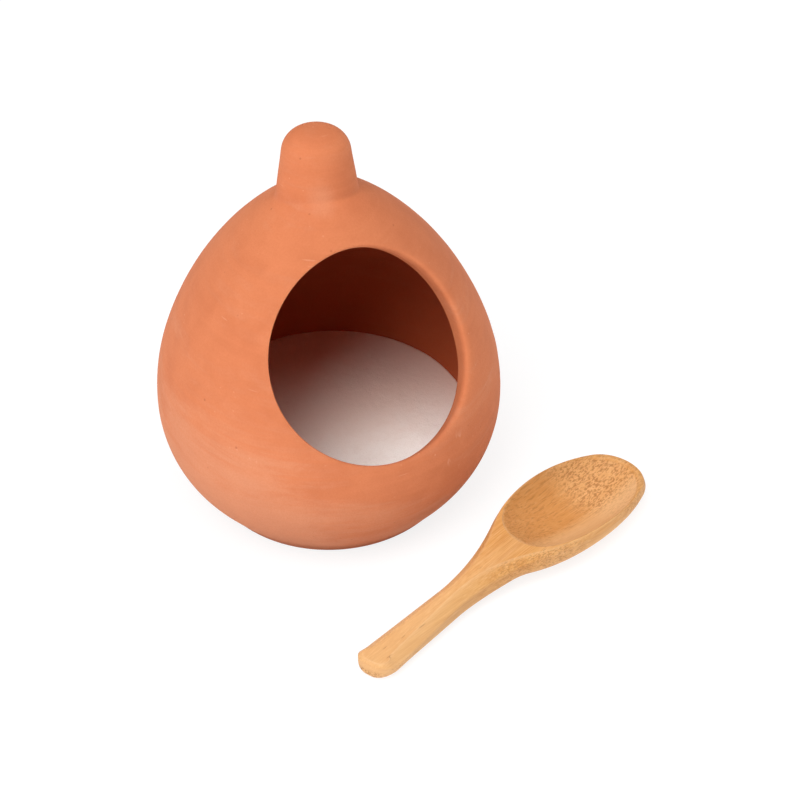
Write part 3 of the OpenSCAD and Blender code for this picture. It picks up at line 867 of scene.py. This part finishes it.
def spoon_mesh(shape):
    """The spoon: rings from its outline over the top into the hollow, and down round the underside."""
    s = shape.s
    bm = bmesh.new()
    # The edge mark carries a painted highlight along the upper and lower edges and the rim of the hollow.
    highlight_mark = bm.verts.layers.float.new("edge")
    cut_mark = bm.verts.layers.float.new("cut")
    hollow_mark = bm.verts.layers.float.new("hollow")
    shape.draw_outline(bm)
    start = min(bm.verts, key=lambda v: (round(v.co.x / MM, 4), abs(v.co.y)))
    loop = ordered_loop(list(bm.edges), start)
    if sum(a.co.x * b.co.y - b.co.x * a.co.y for a, b in zip(loop, loop[1:] + loop[:1])) < 0:
        loop = loop[:1] + loop[:0:-1]
    flat = [v.co.copy() for v in loop]
    count = len(flat)
    inward = []
    for i, p in enumerate(flat):
        way = flat[(i + 1) % count] - flat[i - 1]
        inward.append(Vector((-way.y, way.x, 0)).normalized())

    def soft(along, handle, bowl):
        share = smooth_step(along, shape.neck_place + 8 * MM, s.hollow_place - s.hollow_reach * 0.6)
        handle *= s.end_edge + (1 - s.end_edge) * smooth_step(along, 0, 7 * MM)
        return handle + (bowl - handle) * share

    def raised(p, z):
        return Vector((p.x, p.y, z))

    def on_top(p):
        return raised(p, shape.top(p.x, p.y))

    def below(p):
        return raised(p, shape.underside(p.x, p.y))

    def around(p):
        return math.atan2(p.y / s.hollow_breadth, (p.x - s.hollow_place) / s.hollow_reach)

    half = count // 2
    joint = min(range(half), key=lambda i: abs(flat[i].x - (s.hollow_place - s.hollow_reach - 5 * MM)))
    widen = math.pi / abs(around(flat[joint]))
    turns = [around(p) * widen for p in flat]
    rims = [shape.rim(t) for t in turns]
    rim_points = [shape.hollow(t, d) for t, d in zip(turns, rims)]
    on_handle = [i < joint or i > count - joint for i in range(count)]
    neck_end = shape.hollow(math.pi, shape.rim(math.pi))
    for i in range(count):
        if on_handle[i]:
            share = flat[i].x / flat[joint].x
            rim_points[i] = Vector((shape.end_half + (neck_end.x - shape.end_half) * share, 0, 0))
    drops = [soft(p.x, s.handle_drop, s.bowl_drop) for p in flat]
    lips, rim_out = [], []
    for p, n, r in zip(flat, inward, rim_points):
        land = (raised(r, 0) - p).length
        lip = p + n * min(soft(p.x, s.handle_edge, s.bowl_edge), 0.6 * land)
        away = lip - raised(r, 0)
        back = 0 if on_handle[len(lips)] else min(s.rim_edge, away.length * 0.5)
        if abs(r.y) < 0.01 * MM and r.x < s.hollow_place:
            away = Vector((-1, 0, 0))
        out = raised(r, 0) + away.normalized() * back
        lips.append(lip)
        rim_out.append(on_top(out))
    rim_in = [shape.hollow(t, d + s.rim_edge / s.hollow_depth) for t, d in zip(turns, rims)]

    def rings(loop, points_of, steps, mark, hollow=0):
        for k in range(1, steps + 1):
            loop = extruded_ring(bm, loop)
            for i, vert in enumerate(loop):
                vert.co = points_of(i, k / steps)
                vert[highlight_mark] = mark(k / steps)
                vert[hollow_mark] = hollow
        return loop

    def upper_edge(i, q):
        p = flat[i]
        side, ridge = raised(p, shape.top(p.x, p.y) - drops[i]), on_top(lips[i])
        return bend3(side, on_top(p).lerp(side.lerp(ridge, 0.5), s.edge_flat), ridge, q)

    def top_face(i, q):
        return on_top(lips[i].lerp(rim_out[i], q))

    def rim_edge(i, q):
        return bend3(rim_out[i], rim_points[i], rim_in[i], q)

    def bowl(i, q):
        start = rims[i] + s.rim_edge / s.hollow_depth
        return shape.hollow(turns[i], start + (math.pi / 2 - start) * q)

    unders = [below(p + n * s.lower_edge) for p, n in zip(flat, inward)]
    corners = [below(p) for p in flat]
    sides = [min(s.lower_edge, (shape.top(p.x, p.y) - c.z - d) * 0.8) for p, c, d in zip(flat, corners, drops)]

    def side(i, q):
        p = flat[i]
        upper, lower = shape.top(p.x, p.y) - drops[i], corners[i].z + sides[i]
        return raised(p, upper + (lower - upper) * q)

    def lower_edge(i, q):
        return bend3(raised(flat[i], corners[i].z + sides[i]), corners[i], unders[i], q)

    def belly(i, q):
        start = unders[i]
        middle = min(max(start.x, shape.end_half), shape.tip_place)
        return below(raised(start, 0).lerp(Vector((middle, 0, 0)), q))

    for i, vert in enumerate(loop):
        vert.co = side(i, 0)
    top = rings(loop, upper_edge, shape.EDGE_RINGS, lambda q: q ** 5)
    top = rings(top, top_face, shape.TOP_RINGS, lambda q: 0)
    bmesh.ops.weld_verts(bm, targetmap={top[count - i]: top[i] for i in range(1, joint + 1)})
    order = list(range(joint, count - joint))
    top = [top[i] for i in order]
    top = rings(top, lambda i, q: rim_edge(order[i], q), shape.RIM_RINGS, lambda q: math.sin(math.pi * q))
    rings(top, lambda i, q: bowl(order[i], q), shape.HOLLOW_RINGS, lambda q: 0, 1)
    under = rings(loop, side, shape.SIDE_RINGS, lambda q: 0)
    under = rings(under, lower_edge, shape.LOWER_RINGS, lambda q: 0.5 * math.sin(math.pi * q))
    rings(under, belly, shape.BELLY_RINGS, lambda q: 0)
    bmesh.ops.remove_doubles(bm, verts=bm.verts, dist=0.004 * MM)
    bmesh.ops.recalc_face_normals(bm, faces=bm.faces)
    bm.normal_update()
    for vert in bm.verts:
        vert[cut_mark] = abs(vert.normal.x)
        vert.co.x -= s.end_skew * vert.co.y * (1 - smooth_step(vert.co.x, 2 * MM, 16 * MM))
    bmesh.ops.rotate(bm, verts=bm.verts, cent=(0, 0, 0), matrix=Matrix.Rotation(s.turn, 3, "Z"))
    bmesh.ops.translate(bm, verts=bm.verts, vec=(s.right, -s.front, 0))
    return bm


def bamboo_material(s):
    """Bamboo: long fibre bundles that show as dots where they are cut across and as dashes along the faces, with a
    painted highlight along the edges and painted light and shade in the hollow.
    """
    material, b = new_board("bamboo")
    place = b.mapped(b.object_place(), (1, 1, 1), (s.right, -s.front, 0), (0, 0, s.turn), "TEXTURE")
    # The edge attribute is a painted highlight along the edges.
    edge, cut, hollow = [b.attribute(name) for name in ("edge", "cut", "hollow")]
    across_grain = b.ramp(cut, 0.06, 0.26)
    along, across, up = b.split(place)
    broad = b.noise(b.mapped(place, (10, 75, 75)), 1, 3, 0.5)
    strips = b.noise(b.mapped(place, (9, 520, 520)), 1, 4, 0.6, 0.2)
    threads = b.noise(b.mapped(place, (45, 2400, 2400)), 1, 3, 0.65)
    streaks = b.ramp(b.noise(b.mapped(place, (130, 1700, 1700), (4, 9, 2)), 1, 2, 0.5), 0.52, 0.66)
    dots = b.ramp(b.noise(b.mapped(place, (740, 1700, 1700)), 1, 2, 0.5, 0.5), 0.45, 0.63)
    near_tip, near_neck = b.ramp(along, 96 * MM, 110 * MM), b.ramp(along, 84 * MM, 70 * MM)
    near_end, near_side = b.ramp(along, 5 * MM, 1 * MM), b.ramp(across, -2 * MM, -9 * MM)
    dashes = b.mapped(place, (110, 1500, 1500), (3, 1, 7))
    dash = b.ramp(b.cells(dashes, 1), 0.3, 0.14) * b.chosen(dashes, 1, 1, 0.93)
    in_hollow = dots * (near_tip * 0.85 * (1 - near_side * 0.65) + near_neck * 0.35)
    in_hollow = in_hollow + streaks * (1 - near_tip) * (1 - near_side * 0.7) * 0.5
    cut_dots = b.ramp(along, 48 * MM, 60 * MM) * b.ramp(broad, 0.25, 0.55) * 0.6
    cut_dots = cut_dots + near_end * b.ramp(up, 5 * MM, 2.5 * MM)
    on_faces = dots * across_grain * cut_dots + dash * (1 - across_grain) * 0.8
    carved = hollow + (1 - hollow) * b.ramp(along, 100 * MM, 112 * MM) * (1 - across_grain)
    dark = in_hollow * carved + on_faces * (1 - carved)
    wood = b.coats(
        s.gold, (b.ramp(strips, 0.36, 0.68) * 0.6, s.honey_and_painted_shade), (b.ramp(broad, 0.42, 0.72) * 0.4, s.straw_and_painted_light),
        (b.ramp(threads, 0.46, 0.72) * 0.55, s.honey_and_painted_shade), (b.ramp(threads, 0.5, 0.3) * 0.4, s.straw_and_painted_light),
        (b.ramp(along, 62 * MM, 20 * MM) * 0.42, s.straw_and_painted_light),
        # Painted shade in the hollow, lifted by painted light at its tip and near side.
        (hollow * (1 - near_tip * 0.6) * (1 - near_side * 0.6) * 0.6, s.honey_and_painted_shade),
        ((near_tip * 0.25 + near_side * 0.5) * hollow, s.straw_and_painted_light), (dark * 0.8, s.fibre),
        # Painted highlight along the edges, less near the tip.
        (edge * (1 - near_tip * 0.6) * 0.4, s.straw_and_painted_light))
    b.surface({
        "Base Color": wood,
        "Roughness": 0.52 + strips * 0.12 + dark * 0.1,
        "Specular IOR Level": 0.35,
        "Normal": b.bump(threads * 0.4 + strips * 0.4 - dark * 0.8, 0.1 * MM, 0.5),
    })
    return material


class SALTPIG_OT_stage(bpy.types.Operator):
    """Make the floor, the light and the camera"""

    bl_idname = "salt_pig.stage"
    bl_label = "Stage"

    def execute(self, context):
        s = context.scene.salt_pig.stage
        context.scene.view_settings.view_transform = "Standard"
        self.make_world(context.scene, s)
        self.make_floor(s)
        for name, place, size in LAMPS:
            self.make_light(context.scene, name + "_light", place, size, getattr(s, name))
        camera = bpy.data.objects.new("camera", bpy.data.cameras.new("camera"))
        camera.data.lens = s.lens
        camera.data.sensor_width = 36
        camera.location = CAMERA_PLACE
        camera.rotation_euler = CAMERA_LOOK.to_track_quat("-Z", "Y").to_euler()
        context.scene.collection.objects.link(camera)
        context.scene.camera = camera
        return {"FINISHED"}

    @staticmethod
    def seen(b):
        """1 for rays that show the background: from the camera, in gloss and through glass."""
        node = b.add("ShaderNodeLightPath").socket.node
        rays = [Wire(b, node.outputs[name]) for name in (
            "Is Camera Ray", "Is Glossy Ray", "Is Transmission Ray")]
        return b.add("ShaderNodeMath", {"operation": "MINIMUM"}, {0: rays[0] + rays[1] + rays[2], 1: 1})

    def make_world(self, scene, s):
        """White behind the object, and soft light from all round."""
        scene.world = bpy.data.worlds.new("studio")
        scene.world.use_nodes = True
        b = Board(scene.world.node_tree)
        strength = self.seen(b) * (1 - s.ambient) + s.ambient
        light = b.add("ShaderNodeBackground", {}, {"Color": WHITE, "Strength": strength})
        b.add("ShaderNodeOutputWorld", {}, {"Surface": light})

    def make_floor(self, s):
        """A plain floor that the camera sees as white, with a faint shadow."""
        material, b = new_board("floor")
        matt = b.add("ShaderNodeBsdfDiffuse", {}, {"Color": (0.8, 0.8, 0.8, 1)})
        away = b.add("ShaderNodeVectorMath", {"operation": "LENGTH"}, {0: b.object_place()}, "Value")
        bounce = b.add("ShaderNodeEmission", {}, {
            "Color": WHITE, "Strength": b.ramp(away, 0.06, 0.15) * s.bounce})
        plain = b.add("ShaderNodeAddShader", {}, {0: matt, 1: bounce})
        shade = b.add("ShaderNodeBsdfDiffuse", {}, {"Color": (s.floor_shade,) * 3 + (1,)})
        glow = b.add("ShaderNodeEmission", {}, {
            "Color": WHITE, "Strength": s.floor_glow + b.ramp(away, 0.25, 0.8) * (1 - s.floor_glow)})
        white = b.add("ShaderNodeAddShader", {}, {0: shade, 1: glow})
        both = b.add("ShaderNodeMixShader", {}, {0: self.seen(b), 1: plain, 2: white})
        b.add("ShaderNodeOutputMaterial", {}, {"Surface": both})
        bm = bmesh.new()
        bmesh.ops.create_grid(bm, x_segments=1, y_segments=1, size=3)
        floor = new_object(bm, "floor", material)

    @staticmethod
    def make_light(scene, name, place, size, power):
        """A large soft lamp that looks at the object."""
        lamp = bpy.data.lights.new(name, "AREA")
        lamp.shape, lamp.size, lamp.energy = "DISK", size, power
        light = bpy.data.objects.new(name, lamp)
        light.location = place
        light.rotation_euler = (LAMP_AIM - Vector(place)).to_track_quat("-Z", "Y").to_euler()
        scene.collection.objects.link(light)


class SALTPIG_OT_jar(bpy.types.Operator):
    """Make the terracotta jar"""

    bl_idname = "salt_pig.jar"
    bl_label = "Jar"

    def execute(self, context):
        s = context.scene.salt_pig.jar
        shape = JarShape(s)
        bm = jar_mesh(shape)
        hand_made(bm, shape)
        finish_piece(bm, "jar_body", "jar", "jar", clay_material(s))
        return {"FINISHED"}


class SALTPIG_OT_salt(bpy.types.Operator):
    """Make the salt in the jar"""

    bl_idname = "salt_pig.salt"
    bl_label = "Salt"

    def execute(self, context):
        s = context.scene.salt_pig
        bm = salt_mesh(JarShape(s.jar), s.salt, s.jar)
        finish_piece(bm, "salt_fill", "jar", "salt", salt_material(s.salt))
        return {"FINISHED"}


class SALTPIG_OT_spoon(bpy.types.Operator):
    """Make the bamboo spoon"""

    bl_idname = "salt_pig.spoon"
    bl_label = "Spoon"

    def execute(self, context):
        s = context.scene.salt_pig.spoon
        bm = spoon_mesh(SpoonShape(s))
        finish_piece(bm, "spoon_body", "spoon", "spoon", bamboo_material(s))
        return {"FINISHED"}


class SALTPIG_PT_panel(bpy.types.Panel):
    """Lists the pieces and their settings"""

    bl_idname = "SALTPIG_PT_panel"
    bl_label = "Salt Pig"
    bl_space_type = "VIEW_3D"
    bl_region_type = "UI"
    bl_category = "Salt Pig"

    def draw(self, context):
        settings = context.scene.salt_pig
        for part in ("stage", "jar", "salt", "spoon"):
            box = self.layout.box()
            box.operator("salt_pig." + part)
            group = getattr(settings, part)
            for name in group.__annotations__:
                box.prop(group, name)


CLASSES = (
    JarSettings, SaltSettings, SpoonSettings, StageSettings, SaltPigSettings,
    SALTPIG_OT_stage, SALTPIG_OT_jar, SALTPIG_OT_salt, SALTPIG_OT_spoon, SALTPIG_PT_panel,
)


def register():
    for cls in CLASSES:
        bpy.utils.register_class(cls)
    bpy.types.Scene.salt_pig = bpy.props.PointerProperty(
        type=SaltPigSettings, name="Salt pig", description="Settings of the salt pig")


def unregister():
    del bpy.types.Scene.salt_pig
    for cls in reversed(CLASSES):
        bpy.utils.unregister_class(cls)


def main():
    register()
    bpy.ops.salt_pig.stage()
    bpy.ops.salt_pig.jar()
    bpy.ops.salt_pig.salt()
    bpy.ops.salt_pig.spoon()


if __name__ == "__main__":
    main()
